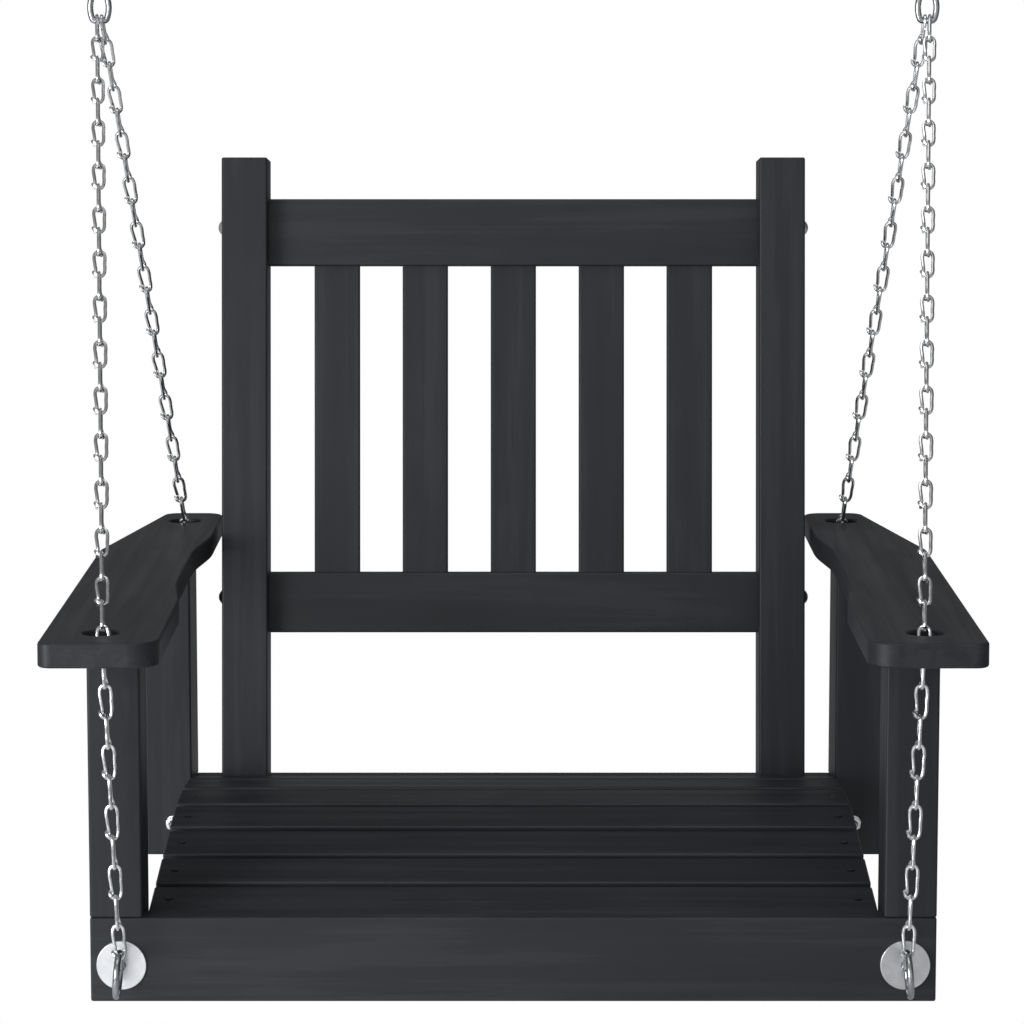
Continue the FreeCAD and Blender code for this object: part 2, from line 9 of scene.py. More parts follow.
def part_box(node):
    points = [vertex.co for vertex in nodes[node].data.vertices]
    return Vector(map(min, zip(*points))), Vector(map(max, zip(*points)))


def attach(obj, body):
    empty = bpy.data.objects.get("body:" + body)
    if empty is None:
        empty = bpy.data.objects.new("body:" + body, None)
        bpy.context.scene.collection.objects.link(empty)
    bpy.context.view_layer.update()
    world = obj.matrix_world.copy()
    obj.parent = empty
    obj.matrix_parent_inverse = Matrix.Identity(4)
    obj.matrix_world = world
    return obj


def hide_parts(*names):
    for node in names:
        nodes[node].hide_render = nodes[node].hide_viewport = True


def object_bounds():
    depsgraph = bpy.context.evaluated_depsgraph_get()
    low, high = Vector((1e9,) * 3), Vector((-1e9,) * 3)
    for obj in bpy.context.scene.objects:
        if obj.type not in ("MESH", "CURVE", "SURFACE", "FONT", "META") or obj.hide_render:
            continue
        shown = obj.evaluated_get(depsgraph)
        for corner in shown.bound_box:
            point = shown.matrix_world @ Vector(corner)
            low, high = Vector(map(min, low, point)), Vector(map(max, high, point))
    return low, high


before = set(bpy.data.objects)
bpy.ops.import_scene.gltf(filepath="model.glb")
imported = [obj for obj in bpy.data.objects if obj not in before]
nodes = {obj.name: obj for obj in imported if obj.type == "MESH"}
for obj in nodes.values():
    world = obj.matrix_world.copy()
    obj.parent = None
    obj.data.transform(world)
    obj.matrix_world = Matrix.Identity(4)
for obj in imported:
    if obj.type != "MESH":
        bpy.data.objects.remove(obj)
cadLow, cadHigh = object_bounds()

mm = 0.001


# Colours are picked as sRGB hex and turned to linear here.
def colour(hexCode, alpha=1.0):
    parts = [int(hexCode[i:i + 2], 16) / 255 for i in (1, 3, 5)]
    return [p / 12.92 if p <= 0.04045 else ((p + 0.055) / 1.055) ** 2.4 for p in parts] + [alpha]


# Adds one node: values go on its inputs, and a socket given as a value is linked.
def addNode(tree, kind, values=None, **settings):
    node = tree.nodes.new(kind)
    for name, value in settings.items():
        setattr(node, name, value)
    for name, value in (values or {}).items():
        if isinstance(value, bpy.types.NodeSocket):
            tree.links.new(value, node.inputs[name])
        else:
            node.inputs[name].default_value = value
    return node


def newMaterial(name):
    material = bpy.data.materials.new(name)
    material.use_nodes = True
    material.node_tree.nodes.clear()
    return material, material.node_tree


def rampStops(ramp, stops):
    while len(ramp.color_ramp.elements) < len(stops):
        ramp.color_ramp.elements.new(0.5)
    for element, (place, hexCode) in zip(ramp.color_ramp.elements, stops):
        element.position = place
        element.color = colour(hexCode)


# Pine, planed and brushed with satin anthracite paint: nearly black, a little blue,
# with the long grain just showing through and a soft sheen that is broken up by it.
paint = {
    "dark": "#212428", "mid": "#272a2f", "light": "#2e3136",
    "roughness": (0.40, 0.50),
    "ringWidth": 13.0, "ringLength": 330.0,     # growth rings across and along the board
    "poreWidth": 1.8, "poreLength": 60.0,       # real pores are 0.3 mm, drawn wider so that they show
    "brushWidth": 1.0,
    "coatWidth": 48.0, "coatLength": 130.0,     # where the paint went on thicker or thinner
    "bumpDepth": 0.06,
}


def paintedPine(name, turn):
    material, tree = newMaterial(name)
    place = addNode(tree, "ShaderNodeTexCoord").outputs["Object"]
    along = addNode(tree, "ShaderNodeMapping", {"Vector": place, "Rotation": turn},
                    vector_type="POINT").outputs["Vector"]

    def grain(width, length, seed, detail, distortion=0.0):
        scaled = addNode(tree, "ShaderNodeMapping", {
            "Vector": along, "Location": (seed, seed * 0.7, seed * 1.3),
            "Scale": (1 / (length * mm), 1 / (width * mm), 1 / (width * mm))}).outputs["Vector"]
        return addNode(tree, "ShaderNodeTexNoise", {
            "Vector": scaled, "Scale": 1.0, "Detail": detail, "Roughness": 0.55,
            "Distortion": distortion}).outputs["Fac"]

    rings = grain(paint["ringWidth"], paint["ringLength"], 3.1, 3.0, 0.6)
    pores = grain(paint["poreWidth"], paint["poreLength"], 7.7, 2.0)
    brush = grain(paint["brushWidth"], paint["brushWidth"] * 12, 11.3, 1.0)
    coat = grain(paint["coatWidth"], paint["coatLength"], 17.9, 2.0, 0.4)
    tone = addNode(tree, "ShaderNodeMath", {0: pores, 1: 0.22, 2: rings}, operation="MULTIPLY_ADD").outputs[0]
    tone = addNode(tree, "ShaderNodeMath", {0: coat, 1: 0.55, 2: tone}, operation="MULTIPLY_ADD").outputs[0]
    tint = addNode(tree, "ShaderNodeValToRGB", {"Fac": tone})
    rampStops(tint, [(0.55, paint["dark"]), (0.88, paint["mid"]), (1.0, paint["light"])])
    sheen = addNode(tree, "ShaderNodeMapRange", {
        "Value": tone, "From Min": 0.6, "From Max": 1.15,
        "To Min": paint["roughness"][1], "To Max": paint["roughness"][0]}).outputs["Result"]
    height = addNode(tree, "ShaderNodeMath", {0: brush, 1: 0.4, 2: pores}, operation="MULTIPLY_ADD").outputs[0]
    bump = addNode(tree, "ShaderNodeBump", {
        "Height": height, "Strength": 0.35, "Distance": paint["bumpDepth"] * mm}).outputs["Normal"]
    shader = addNode(tree, "ShaderNodeBsdfPrincipled", {
        "Base Color": tint.outputs["Color"], "Roughness": sheen, "Normal": bump, "IOR": 1.4})
    addNode(tree, "ShaderNodeOutputMaterial", {"Surface": shader.outputs["BSDF"]})
    return material


# Steel with a bright zinc plate: a cool silver grey, faintly blotched where the plate is thicker.
def brightZinc(name, tones, roughness, blotch):
    material, tree = newMaterial(name)
    place = addNode(tree, "ShaderNodeTexCoord").outputs["Object"]
    cloud = addNode(tree, "ShaderNodeTexNoise", {
        "Vector": place, "Scale": 1 / (blotch * mm), "Detail": 3.0, "Roughness": 0.6}).outputs["Fac"]
    tint = addNode(tree, "ShaderNodeValToRGB", {"Fac": cloud})
    rampStops(tint, list(zip((0.3, 0.7), tones)))
    gloss = addNode(tree, "ShaderNodeMapRange", {
        "Value": cloud, "From Min": 0.3, "From Max": 0.7,
        "To Min": roughness[0], "To Max": roughness[1]}).outputs["Result"]
    shader = addNode(tree, "ShaderNodeBsdfPrincipled", {
        "Base Color": tint.outputs["Color"], "Roughness": gloss, "Metallic": 1.0})
    addNode(tree, "ShaderNodeOutputMaterial", {"Surface": shader.outputs["BSDF"]})
    return material


# Hardened screws, black phosphate finish: matt charcoal with slightly shiny rubbed spots.
def blackPhosphate(name):
    material, tree = newMaterial(name)
    place = addNode(tree, "ShaderNodeTexCoord").outputs["Object"]
    rubbed = addNode(tree, "ShaderNodeTexNoise", {
        "Vector": place, "Scale": 1 / (1.5 * mm), "Detail": 3.0}).outputs["Fac"]
    tint = addNode(tree, "ShaderNodeValToRGB", {"Fac": rubbed})
    rampStops(tint, [(0.35, "#222427"), (0.75, "#3b3d40")])
    gloss = addNode(tree, "ShaderNodeMapRange", {
        "Value": rubbed, "From Min": 0.35, "From Max": 0.75, "To Min": 0.6, "To Max": 0.42}).outputs["Result"]
    shader = addNode(tree, "ShaderNodeBsdfPrincipled", {
        "Base Color": tint.outputs["Color"], "Roughness": gloss, "Metallic": 0.25})
    addNode(tree, "ShaderNodeOutputMaterial", {"Surface": shader.outputs["BSDF"]})
    return material


# Turned beech dowel, left bare: pale tan with short dark flecks along it.
def bareBeech(name):
    material, tree = newMaterial(name)
    place = addNode(tree, "ShaderNodeTexCoord").outputs["Object"]
    scaled = addNode(tree, "ShaderNodeMapping", {
        "Vector": place, "Scale": (1 / (0.8 * mm), 1 / (3 * mm), 1 / (3 * mm))}).outputs["Vector"]
    fleck = addNode(tree, "ShaderNodeTexNoise", {"Vector": scaled, "Scale": 1.0, "Detail": 3.0}).outputs["Fac"]
    tint = addNode(tree, "ShaderNodeValToRGB", {"Fac": fleck})
    rampStops(tint, [(0.3, "#a47c50"), (0.7, "#cfab7c")])
    shader = addNode(tree, "ShaderNodeBsdfPrincipled", {"Base Color": tint.outputs["Color"], "Roughness": 0.62})
    addNode(tree, "ShaderNodeOutputMaterial", {"Surface": shader.outputs["BSDF"]})
    return material


backLean = math.radians(6.9)
quarter = math.radians(90)
pineAcross = paintedPine("satinPaintedPineAcross", (0, 0, 0))
pineDeep = paintedPine("satinPaintedPineDeep", (0, 0, quarter))
pineUpright = paintedPine("satinPaintedPineUpright", (0, quarter, 0))
pineLeaned = paintedPine("satinPaintedPineLeaned", (backLean, quarter, 0))
chainZinc = brightZinc("zincPlatedSteelWire", ("#e2e4e6", "#f3f4f5"), (0.18, 0.26), 7.0)
hardwareZinc = brightZinc("zincPlatedSteelPressed", ("#dfe1e4", "#f1f2f4"), (0.27, 0.36), 11.0)
eyeZinc = brightZinc("zincPlatedSteelBentRod", ("#a9adb2", "#c6cacd"), (0.18, 0.28), 9.0)
screwBlack = blackPhosphate("blackPhosphateSteel")
dowelBeech = bareBeech("bareTurnedBeech")


def dress(name, material):
    slots = nodes[name].material_slots
    if len(slots) == 0:
        nodes[name].data.materials.append(material)
    for slot in slots:
        slot.material = material


for name in nodes:
    if name.endswith("dowels"):
        dress(name, dowelBeech)
    elif name.startswith(("arm_", "side_rail")):
        dress(name, pineDeep)
    elif name.startswith(("back_post", "back_slat")):
        dress(name, pineLeaned)
    elif name.startswith(("front_post", "rear_post")):
        dress(name, pineUpright)
    elif name.startswith(("front_rail", "rear_rail", "cross_rail", "seat_slat", "back_top", "back_bottom")):
        dress(name, pineAcross)
    elif name.endswith("_screws"):
        dress(name, screwBlack)
    else:
        dress(name, hardwareZinc)
print("timber and plain hardware painted:", len(nodes), "nodes")


def newObject(name, mesh):
    piece = bpy.data.objects.new(name, mesh)
    bpy.context.collection.objects.link(piece)
    return piece


# The separate solids of a CAD node, each as an array of its corners.
def solidsOf(name):
    work = bmesh.new()
    work.from_mesh(nodes[name].data)
    bmesh.ops.remove_doubles(work, verts=work.verts, dist=0.005 * mm)
    seen, solids = set(), []
    for first in work.verts:
        if first in seen:
            continue
        seen.add(first)
        found, open_ = [], [first]
        while open_:
            corner = open_.pop()
            found.append(corner.co[:])
            for edge in corner.link_edges:
                other = edge.other_vert(corner)
                if other not in seen:
                    seen.add(other)
                    open_.append(other)
        solids.append(np.array(found))
    work.free()
    return solids


# A solid's middle and its own axes, shortest first.
def ownAxes(corners):
    middle = (corners.min(axis=0) + corners.max(axis=0)) / 2
    away = corners - middle
    _, axes = np.linalg.eigh(away.T @ away)
    return Vector(middle), [Vector(axes[:, i]) for i in range(3)]


def turnOf(sideways, forward, upward):
    return Matrix((sideways, forward, upward)).transposed().to_euler()


# A mesh of points, each with the turn and the stretch that its piece gets.
def pointsMesh(name, places):
    mesh = bpy.data.meshes.new(name)
    mesh.from_pydata([p for p, _, _ in places], [], [])
    turns = mesh.attributes.new("turn", "FLOAT_VECTOR", "POINT")
    turns.data.foreach_set("vector", [v for _, t, _ in places for v in t])
    stretches = mesh.attributes.new("stretch", "FLOAT_VECTOR", "POINT")
    stretches.data.foreach_set("vector", [v for _, _, s in places for v in s])
    return newObject(name, mesh)


def namedInput(tree, name, kind, **limits):
    socket = tree.interface.new_socket(name, in_out="INPUT", socket_type=kind)
    for key, value in limits.items():
        setattr(socket, key, value)
    return socket.identifier


def placedInstances(tree, points, shape):
    turn, stretch = (addNode(tree, "GeometryNodeInputNamedAttribute", {"Name": name},
                             data_type="FLOAT_VECTOR").outputs["Attribute"] for name in ("turn", "stretch"))
    rotation = addNode(tree, "FunctionNodeEulerToRotation", {"Euler": turn}).outputs["Rotation"]
    return addNode(tree, "GeometryNodeInstanceOnPoints", {
        "Points": points, "Instance": shape, "Rotation": rotation, "Scale": stretch}).outputs["Instances"]


# Sweeps a round wire along one bent path and hangs a copy on every point.
def wireLinksTree():
    tree = bpy.data.node_groups.new("wireLinks", "GeometryNodeTree")
    ids = {"points": namedInput(tree, "Geometry", "NodeSocketGeometry"),
           "path": namedInput(tree, "Bent path", "NodeSocketObject"),
           "radius": namedInput(tree, "Wire radius", "NodeSocketFloat", default_value=1.25 * mm),
           "sides": namedInput(tree, "Sides", "NodeSocketInt", default_value=8),
           "finish": namedInput(tree, "Finish", "NodeSocketMaterial")}
    tree.interface.new_socket("Geometry", in_out="OUTPUT", socket_type="NodeSocketGeometry")
    given = addNode(tree, "NodeGroupInput").outputs
    path = addNode(tree, "GeometryNodeObjectInfo", {"Object": given["Bent path"]}).outputs["Geometry"]
    ring = addNode(tree, "GeometryNodeCurvePrimitiveCircle", {
        "Resolution": given["Sides"], "Radius": given["Wire radius"]}).outputs["Curve"]
    wire = addNode(tree, "GeometryNodeCurveToMesh", {
        "Curve": path, "Profile Curve": ring, "Fill Caps": True}).outputs["Mesh"]
    hung = placedInstances(tree, given["Geometry"], wire)
    solid = addNode(tree, "GeometryNodeRealizeInstances", {"Geometry": hung}).outputs["Geometry"]
    done = addNode(tree, "GeometryNodeSetMaterial", {
        "Geometry": solid, "Material": given["Finish"]}).outputs["Geometry"]
    addNode(tree, "NodeGroupOutput", {"Geometry": done})
    return tree, ids


# Puts a copy of one finished shape on every point.
def placedHardwareTree():
    tree = bpy.data.node_groups.new("placedHardware", "GeometryNodeTree")
    ids = {"points": namedInput(tree, "Geometry", "NodeSocketGeometry"),
           "shape": namedInput(tree, "Shape", "NodeSocketObject"),
           "finish": namedInput(tree, "Finish", "NodeSocketMaterial")}
    tree.interface.new_socket("Geometry", in_out="OUTPUT", socket_type="NodeSocketGeometry")
    given = addNode(tree, "NodeGroupInput").outputs
    shape = addNode(tree, "GeometryNodeObjectInfo", {"Object": given["Shape"]}).outputs["Geometry"]
    hung = placedInstances(tree, given["Geometry"], shape)
    solid = addNode(tree, "GeometryNodeRealizeInstances", {"Geometry": hung}).outputs["Geometry"]
    done = addNode(tree, "GeometryNodeSetMaterial", {
        "Geometry": solid, "Material": given["Finish"]}).outputs["Geometry"]
    addNode(tree, "NodeGroupOutput", {"Geometry": done})
    return tree, ids


linksTree, linksIds = wireLinksTree()
hardwareTree, hardwareIds = placedHardwareTree()


# Runs a tree on a points mesh and keeps the result as a plain mesh.
def grown(piece, tree, ids, values):
    modifier = piece.modifiers.new("grow", "NODES")
    modifier.node_group = tree
    for key, value in values.items():
        modifier[ids[key]] = value
    bpy.context.view_layer.update()
    seen = piece.evaluated_get(bpy.context.evaluated_depsgraph_get())
    mesh = bpy.data.meshes.new_from_object(seen)
    mesh.name = piece.name
    points = piece.data
    piece.modifiers.clear()
    piece.data = mesh
    bpy.data.meshes.remove(points)
    for attribute in [a.name for a in mesh.attributes if a.name in ("turn", "stretch")]:
        mesh.attributes.remove(mesh.attributes[attribute])
    smooth(mesh)
    return piece


def smooth(mesh, sharpAngle=40):
    mesh.shade_smooth()
    mesh.set_sharp_from_angle(angle=math.radians(sharpAngle))


# Chains of knotted wire links. All sizes in the settings are in millimetres.
chainLink = {
    "wireRadius": 1.25, "pitch": 19.3, "slack": 0.15,
    "topRadius": 3.7, "topShift": 0.15,
    "sides": 8, "curveSteps": 3,
}


# One link, lying in the XZ plane: the wire starts at a stub, runs round the bottom, up the straight
# leg, over the round top, down the slanting leg and twice round its own start.
def linkPath():
    reach = (chainLink["pitch"] + chainLink["slack"]) / 2 - 2.45
    top, shift = chainLink["topRadius"], chainLink["topShift"]
    slant = top * math.sin(math.radians(45))
    low = -reach
    points = [(-4.1, 1.0, low + 1.2), (-4.15, -0.2, low + 0.2), (-3.5, -1.05, low - 1.1), (-2.1, -1.2, low - 2.4),
              (-0.4, -0.5, low - 3.55), (1.3, 0, low - 3.4), (3.0, 0, low - 1.9), (3.8, 0, low + 0.7), (3.85, 0, 0),
              (shift + top, 0, reach), (shift + slant, 0, reach + slant), (shift, 0, reach + top),
              (shift - slant, 0, reach + slant), (shift - top, 0, reach), (-3.15, 0, 0.5), (-2.65, 0.3, low + 3.2),
              (-2.6, 1.2, low + 0.3), (-2.9, 1.3, low - 2.0), (-3.2, 0.6, low - 3.2)]
    curve = bpy.data.curves.new("linkPath", "CURVE")
    curve.dimensions = "3D"
    curve.resolution_u = chainLink["curveSteps"]
    spline = curve.splines.new("BEZIER")
    spline.bezier_points.add(len(points) - 1)
    for knot, point in zip(spline.bezier_points, points):
        knot.co = Vector(point) * mm
        knot.handle_left_type = knot.handle_right_type = "AUTO"
    path = bpy.data.objects.new("linkPath", curve)
    bpy.context.collection.objects.link(path)
    return path


bentPath = linkPath()
fullLength = (chainLink["pitch"] + chainLink["slack"] + 4 * chainLink["wireRadius"]) * mm
for end in ("front_left", "front_right", "rear_left", "rear_right"):
    places = []
    for corners in solidsOf("chain_" + end):
        middle, (normal, _, along) = ownAxes(corners)
        if along.z < 0:
            along.negate()
        if (normal.x if abs(normal.x) > abs(normal.y) else normal.y) < 0:
            normal.negate()
        length = np.ptp(corners @ np.array(along))
        places.append((middle, turnOf(normal.cross(along), normal, along), (1, 1, length / fullLength)))
    places.sort(key=lambda place: -place[0].z)
    chain = grown(pointsMesh("chain_of_links_" + end, places), linksTree, linksIds, {
        "path": bentPath, "radius": chainLink["wireRadius"] * mm, "sides": chainLink["sides"], "finish": chainZinc})
    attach(chain, "swing")
    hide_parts("chain_" + end)
    print("chain", end, len(places), "links", len(chain.data.polygons), "faces")
bpy.data.objects.remove(bentPath)


def onRing(radius, height, share):
    angle = 2 * math.pi * share
    return radius * mm * math.cos(angle), radius * mm * math.sin(angle), height * mm


# A surface of rings along Z: profile holds (radius, height) pairs, and a radius of 0 closes an end.
def turnedRings(work, profile, sides, place=Matrix.Identity(4)):
    rows = []
    for radius, height in profile:
        if radius == 0:
            rows.append([work.verts.new(place @ Vector((0, 0, height * mm)))] * sides)
        else:
            rows.append([work.verts.new(place @ Vector(onRing(radius, height, i / sides))) for i in range(sides)])
    for lower, upper in zip(rows, rows[1:]):
        for i in range(sides):
            j = (i + 1) % sides
            loop = []
            for corner in (lower[i], lower[j], upper[j], upper[i]):
                if corner not in loop:
                    loop.append(corner)
            if len(loop) > 2:
                work.faces.new(loop)
    return rows


# A thread cut round Z: the ridge climbs one pitch each turn, and fades out at both ends.
def threadedRings(work, radius, depth, pitch, low, high, sides, place, taper=None, stepsPerTurn=8, sharpness=1.0):
    steps = max(2, round((high - low) / pitch * stepsPerTurn))
    rows = []
    for k in range(steps + 1):
        height = low + (high - low) * k / steps
        fade = min(1.0, (height - low) / pitch, (high - height) / pitch)
        whole = radius if taper is None else taper(height)
        ring = []
        for i in range(sides):
            phase = (height / pitch - i / sides) % 1.0
            ridge = max(0.0, 1 - abs(2 * phase - 1) * sharpness)
            r = whole - depth * (whole / radius) * (1 - ridge) * max(fade, 0)
            ring.append(work.verts.new(place @ Vector(onRing(r, height, i / sides))))
        rows.append(ring)
    for lower, upper in zip(rows, rows[1:]):
        for i in range(sides):
            j = (i + 1) % sides
            work.faces.new((lower[i], lower[j], upper[j], upper[i]))
    return rows


# A round rod swept along points, as a mesh with flat caps, or closed into a loop.
def bentRod(name, points, radius, sides=20, closed=False):
    curve = bpy.data.curves.new(name, "CURVE")
    curve.dimensions = "3D"
    curve.bevel_depth = radius * mm
    curve.bevel_resolution = sides // 4 - 1
    curve.use_fill_caps = not closed
    spline = curve.splines.new("POLY")
    spline.points.add(len(points) - 1)
    spline.use_cyclic_u = closed
    for knot, point in zip(spline.points, points):
        knot.co = (*point, 1)
    rod = bpy.data.objects.new(name, curve)
    bpy.context.collection.objects.link(rod)
    bpy.context.view_layer.update()
    mesh = bpy.data.meshes.new_from_object(rod.evaluated_get(bpy.context.evaluated_depsgraph_get()))
    bpy.data.objects.remove(rod)
    return mesh


def finished(name, work, finish, body, replaced, sharpAngle=40):
    bmesh.ops.remove_doubles(work, verts=work.verts, dist=0.001 * mm)
    bmesh.ops.recalc_face_normals(work, faces=work.faces)
    mesh = bpy.data.meshes.new(name)
    work.to_mesh(mesh)
    work.free()
    mesh.materials.clear()
    mesh.materials.append(finish)
    smooth(mesh, sharpAngle)
    piece = newObject(name, mesh)
    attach(piece, body)
    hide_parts(replaced)
    return piece


# Eye bolts: a rod bent into a ring, its end closed up against a threaded shank.
eyeBolt = {
    "rodRadius": 2.3, "ringRadius": 14.7, "ringSteps": 72,
    "tilt": 4.0, "gapStart": 4.84, "gapEnd": 0.726,     # degrees: the lean, and the slit where the ring closes
    "shankRadius": 3.0, "threadDepth": 0.5, "threadPitch": 1.0, "sides": 28,
    "root": ((0, -1.0), (0.72, -0.9), (1, 0.4), (1, 3.0)),  # share of the radius, and distance past the ring
    "railAhead": 10.3, "threadPastFace": 1.0, "endChamfer": 0.6,
    "frontClamped": 50.0, "rearClamped": 68.0,          # timber that the bolt goes through
}


def makeEyeBolt(where, name):
    low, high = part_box("eye_bolt_" + name)
    outer = (eyeBolt["ringRadius"] + eyeBolt["rodRadius"]) * mm
    ahead = 1 if where == "front" else -1
    ringY = low.y + outer if ahead > 0 else high.y - outer
    centre = Vector(((low.x + high.x) / 2, ringY, (low.z + high.z) / 2))
    inwards = 1 if centre.x < 0 else -1
    # Local Z runs from the ring's middle along the shank.
    lean = Euler((0, math.radians(eyeBolt["tilt"]) * inwards, 0)).to_matrix().to_4x4()
    place = Matrix.Translation(centre) @ lean @ Euler((-quarter * ahead, 0, 0)).to_matrix().to_4x4()
    end = (high.y - low.y - outer) / mm
    start = eyeBolt["ringRadius"]
    ringPoints = []
    first = math.radians(eyeBolt["gapStart"])
    around = 2 * math.pi - first - math.radians(eyeBolt["gapEnd"])
    for k in range(eyeBolt["ringSteps"] + 1):
        angle = first + around * k / eyeBolt["ringSteps"]
        ringPoints.append(place @ (Vector((0, math.sin(angle), math.cos(angle))) * start * mm))
    rod = bentRod("ring", ringPoints, eyeBolt["rodRadius"])
    work = bmesh.new()
    work.from_mesh(rod)
    bpy.data.meshes.remove(rod)
    r, depth, pitch, sides = (eyeBolt[key] for key in ("shankRadius", "threadDepth", "threadPitch", "sides"))
    root = [(r * share, start + past) for share, past in eyeBolt["root"]]
    rootEnd = root[-1][1]
    frontEnd = start + eyeBolt["railAhead"] + eyeBolt["threadPastFace"]
    backStart = start + eyeBolt["railAhead"] + eyeBolt[where + "Clamped"] - eyeBolt["threadPastFace"]
    tip = end - eyeBolt["endChamfer"]
    turnedRings(work, root, sides, place)
    threadedRings(work, r, depth, pitch, rootEnd, frontEnd, sides, place)
    turnedRings(work, [(r, frontEnd), (r, backStart)], sides, place)
    threadedRings(work, r, depth, pitch, backStart, tip, sides, place)
    turnedRings(work, [(r, tip), (r - depth - 0.1, end), (0, end)], sides, place)
    return finished("eye_bolt_bent_rod_" + name, work, eyeZinc, "swing", "eye_bolt_" + name)


for where in ("front", "rear"):
    for hand in ("left", "right"):
        bolt = makeEyeBolt(where, where + "_" + hand)
        print("eye bolt", where, hand, len(bolt.data.polygons), "faces")


# Ceiling eyes: an oval of bent rod on a collar and a wood screw.
ceilingEye = {
    "rodRadius": 2.3, "height": 24.0, "flat": 3.1, "cornerRadius": 2.5, "cornerTurn": 70.0,
    "neckRadius": 3.4, "collarRadius": 7.0, "collarThick": 1.6,
    "screwRadius": 3.0, "screwLength": 42.0, "tipLength": 9.0,
    "threadPitch": 2.6, "threadDepth": 0.75, "threadSteps": 10, "threadSharpness": 1.6,
    "threadStart": 1.5, "blunt": 0.3, "tipShare": 0.18, "neckSides": 32, "screwSides": 28,
    "weld": 1.6, "weldShare": 0.8, "weldHeight": 1.4,       # where the neck grows out of the loop
}


def ovalPath(bottom):
    height = ceilingEye["height"] - 2 * ceilingEye["rodRadius"]
    turn = math.radians(ceilingEye["cornerTurn"])
    flat, corner = ceilingEye["flat"], ceilingEye["cornerRadius"]
    cornerX = flat + corner * math.sin(turn)
    cornerZ = corner * (1 - math.cos(turn))
    side = (height / 2 - cornerZ) / math.cos(turn)
    sideCentre = cornerX - side * math.sin(turn)
    path = []
    for k in range(9):                       # bottom corner, from the flat
        a = turn * k / 8
        path.append((flat + corner * math.sin(a), corner * (1 - math.cos(a))))
    lean = quarter - turn
    for k in range(1, 24):                   # bulging side
        a = -lean + 2 * lean * k / 24
        path.append((sideCentre + side * math.cos(a), height / 2 + side * math.sin(a)))
    path += [(x, height - z) for x, z in reversed(path[:9])]
    path += [(-x, z) for x, z in reversed(path)]
    return [(x * mm, 0, bottom + z * mm) for x, z in path]


def makeCeilingEye(hand):
    low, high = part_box("ceiling_eye_" + hand)
    middle = Vector(((low.x + high.x) / 2, (low.y + high.y) / 2, 0))
    points = [Vector(p) + middle for p in ovalPath(low.z + ceilingEye["rodRadius"] * mm)]
    loop = bentRod("oval", points, ceilingEye["rodRadius"], closed=True)
    work = bmesh.new()
    work.from_mesh(loop)
    bpy.data.meshes.remove(loop)
    place = Matrix.Translation(middle)
    r, neck = ceilingEye["screwRadius"], ceilingEye["neckRadius"]
    collar, thick = ceilingEye["collarRadius"], ceilingEye["collarThick"]
    foot = low.z / mm + ceilingEye["height"] - ceilingEye["rodRadius"] * ceilingEye["weld"]
    threadStart = ceilingEye["threadStart"]
    turnedRings(work, [(0, foot), (neck * ceilingEye["weldShare"], foot), (neck, foot + ceilingEye["weldHeight"]),
                       (neck, -thick - 0.5), (neck + 0.5, -thick), (collar - 0.6, -thick), (collar, -thick + 0.5),
                       (collar, -0.2), (collar - 0.2, 0), (r, 0), (r, threadStart)], ceilingEye["neckSides"], place)
    top, tip = ceilingEye["screwLength"], ceilingEye["tipLength"]
    threadEnd = top - ceilingEye["blunt"]

    def taper(height):
        return r if height < top - tip else r * (1 - (1 - ceilingEye["tipShare"]) * (height - top + tip) / tip)

    threadedRings(work, r, ceilingEye["threadDepth"], ceilingEye["threadPitch"], threadStart, threadEnd,
                  ceilingEye["screwSides"], place, taper, ceilingEye["threadSteps"], ceilingEye["threadSharpness"])
    end = taper(threadEnd)
    turnedRings(work, [(end, threadEnd), (end * 0.5, top - 0.05), (0, top)], ceilingEye["screwSides"], place)
    return finished("ceiling_eye_bent_rod_" + hand, work, eyeZinc, "ceiling_fixings", "ceiling_eye_" + hand)


for hand in ("left", "right"):
    eye = makeCeilingEye(hand)
    print("ceiling eye", hand, len(eye.data.polygons), "faces")


# Nuts and slat screws.
hexNut = {"across": 10.0, "height": 5.0, "bore": 3.0, "chamfer": 25.0, "mouth": 0.45, "mouthDepth": 0.4,
          "flatShare": 0.97, "sides": 48}
slatScrew = {"head": 3.4, "rim": 0.25, "shank": 1.7, "length": 32.0, "point": 6.0, "sides": 24,
             "recess": 1.35, "recessWidth": 0.36, "recessDepth": 0.8, "recessTaper": 0.55,
             "turnEach": 37}                      # degrees: each screw stops at its own angle


